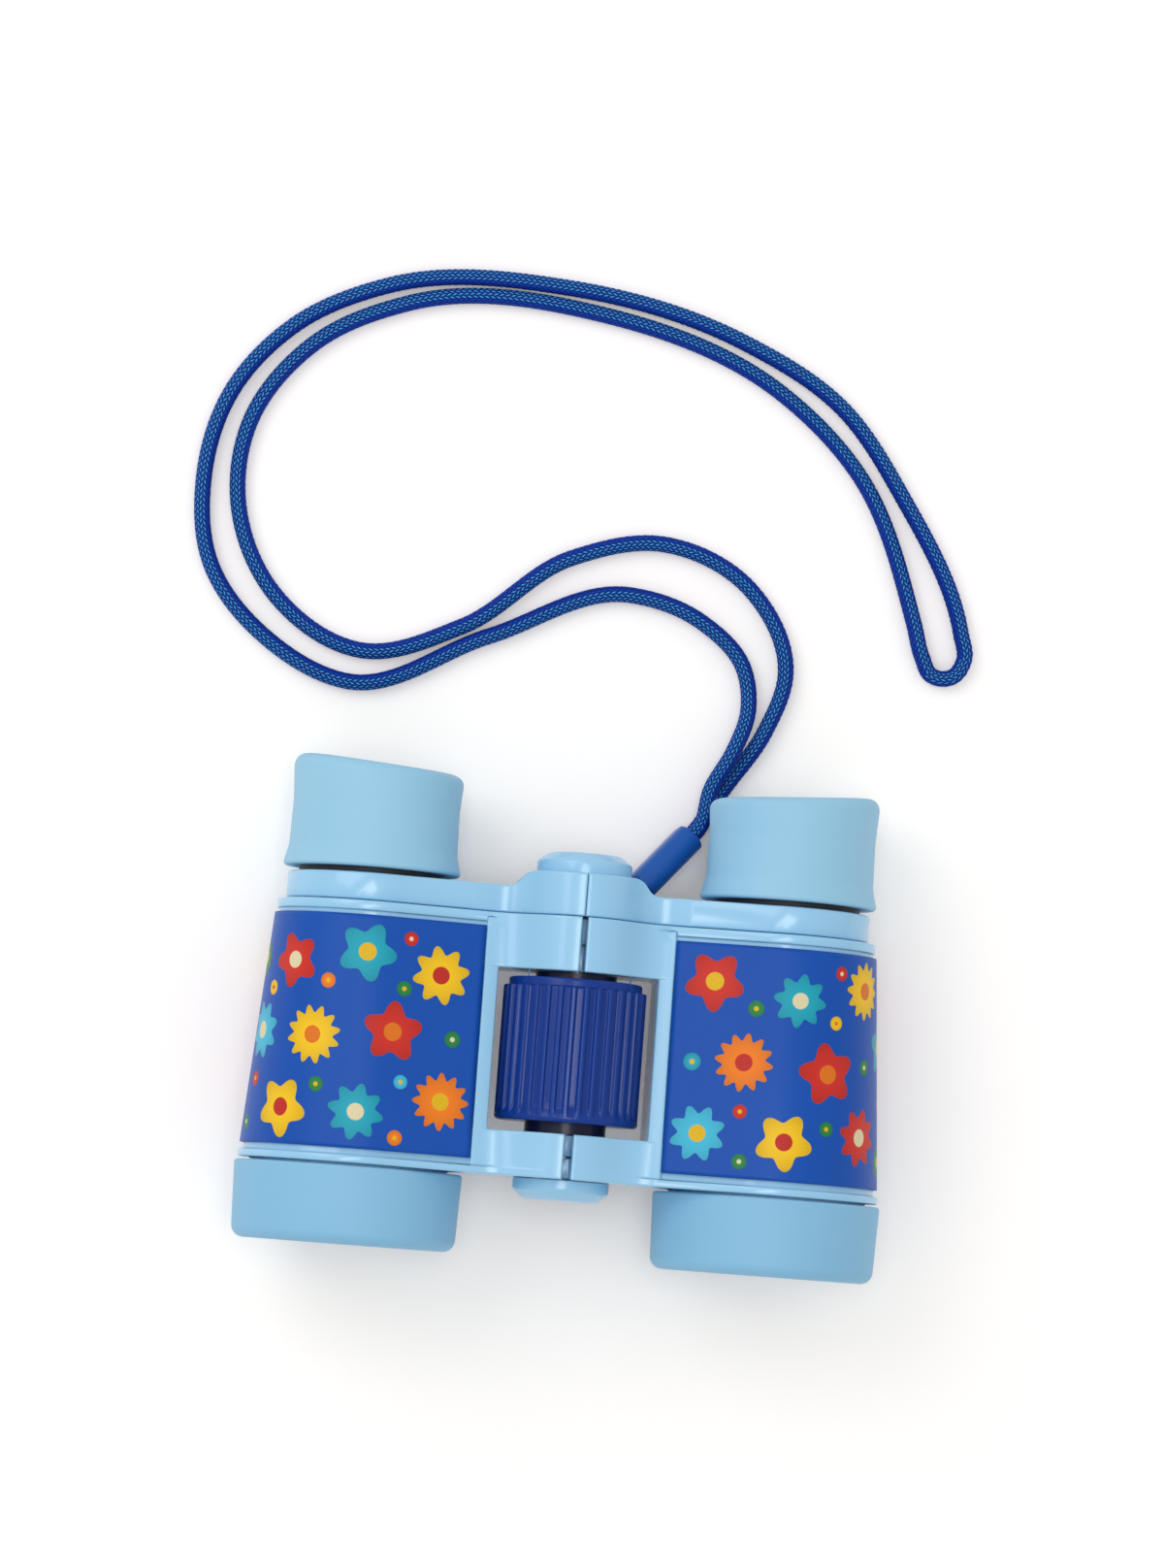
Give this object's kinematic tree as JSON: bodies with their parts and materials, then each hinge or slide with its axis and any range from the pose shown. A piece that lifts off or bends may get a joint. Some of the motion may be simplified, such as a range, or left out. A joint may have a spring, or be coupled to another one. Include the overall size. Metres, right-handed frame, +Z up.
{
  "type": "toy binoculars",
  "caption": "Toy binoculars with folding barrels, a fluted centre wheel that slides both eyepieces, soft cups at both ends, printed wraps and a braided neck cord.",
  "frame": {"origin": "on the table, under the middle of the binoculars without their cord", "axes": "+X to the right barrel as seen from the eyepieces, +Y to the eyepieces, +Z up from the table"},
  "size_m": [0.1485, 0.1841, 0.0424],
  "materials": {
    "body": "moulded, glossy",
    "cups": "soft, matt",
    "wraps": "printed film, satin",
    "wheel": "moulded, glossy",
    "cord": "braided",
    "lenses": "clear",
    "dark": "moulded, matt",
    "steel": "turned",
    "brass": "turned"
  },
  "bodies": {
    "right_half": {"right_barrel": "body", "right_wrap": "wraps", "right_objective_cup": "cups", "right_objective_lens": "lenses", "right_lens_retainer": "dark", "hinge_bush": "steel", "hinge_pin": "steel", "foot_cap": "body", "cord_ferrule": "wheel", "cord_loop": "cord", "neck_cord": "cord"},
    "left_half": {"left_barrel": "body", "left_wrap": "wraps", "left_objective_cup": "cups", "left_objective_lens": "lenses", "left_lens_retainer": "dark"},
    "focus_drive": {"focus_wheel": "wheel", "focus_nut": "brass", "upper_washer": "dark", "lower_washer": "dark"},
    "right_eyepiece": {"right_bridge": "body", "right_eyepiece_tube": "dark", "right_eye_lens": "lenses", "right_eye_retainer": "dark", "right_eyecup": "cups", "focus_stem": "steel", "top_cap": "body"},
    "left_eyepiece": {"left_bridge": "body", "left_eyepiece_tube": "dark", "left_eye_lens": "lenses", "left_eye_retainer": "dark", "left_eyecup": "cups"}
  },
  "joints": [
    {"name": "fold", "type": "hinge", "parent": "right_half", "child": "left_half", "pos_m": [0, -0.0052, 0.0265], "axis": [0, -0.9975, 0.0712], "range_deg": [0, 70]},
    {"name": "focus_turn", "type": "hinge", "parent": "right_half", "child": "focus_drive", "pos_m": [0, -0.0052, 0.0265], "axis": [0, 0.9975, -0.0712], "range_deg": [0, 270]},
    {"name": "focus_slide_right", "type": "slide", "parent": "right_half", "child": "right_eyepiece", "axis": [0, 0.9975, -0.0712], "range_m": [0, 0.003]},
    {"name": "focus_slide_left", "type": "slide", "parent": "left_half", "child": "left_eyepiece", "axis": [0, 0.9975, -0.0712], "range_m": [0, 0.003]}
  ],
  "couplings": [
    {"joint": "focus_turn", "follows": "focus_slide_right", "rad_per_m": 1570.8},
    {"joint": "focus_slide_left", "follows": "focus_slide_right", "ratio": 1}
  ]
}
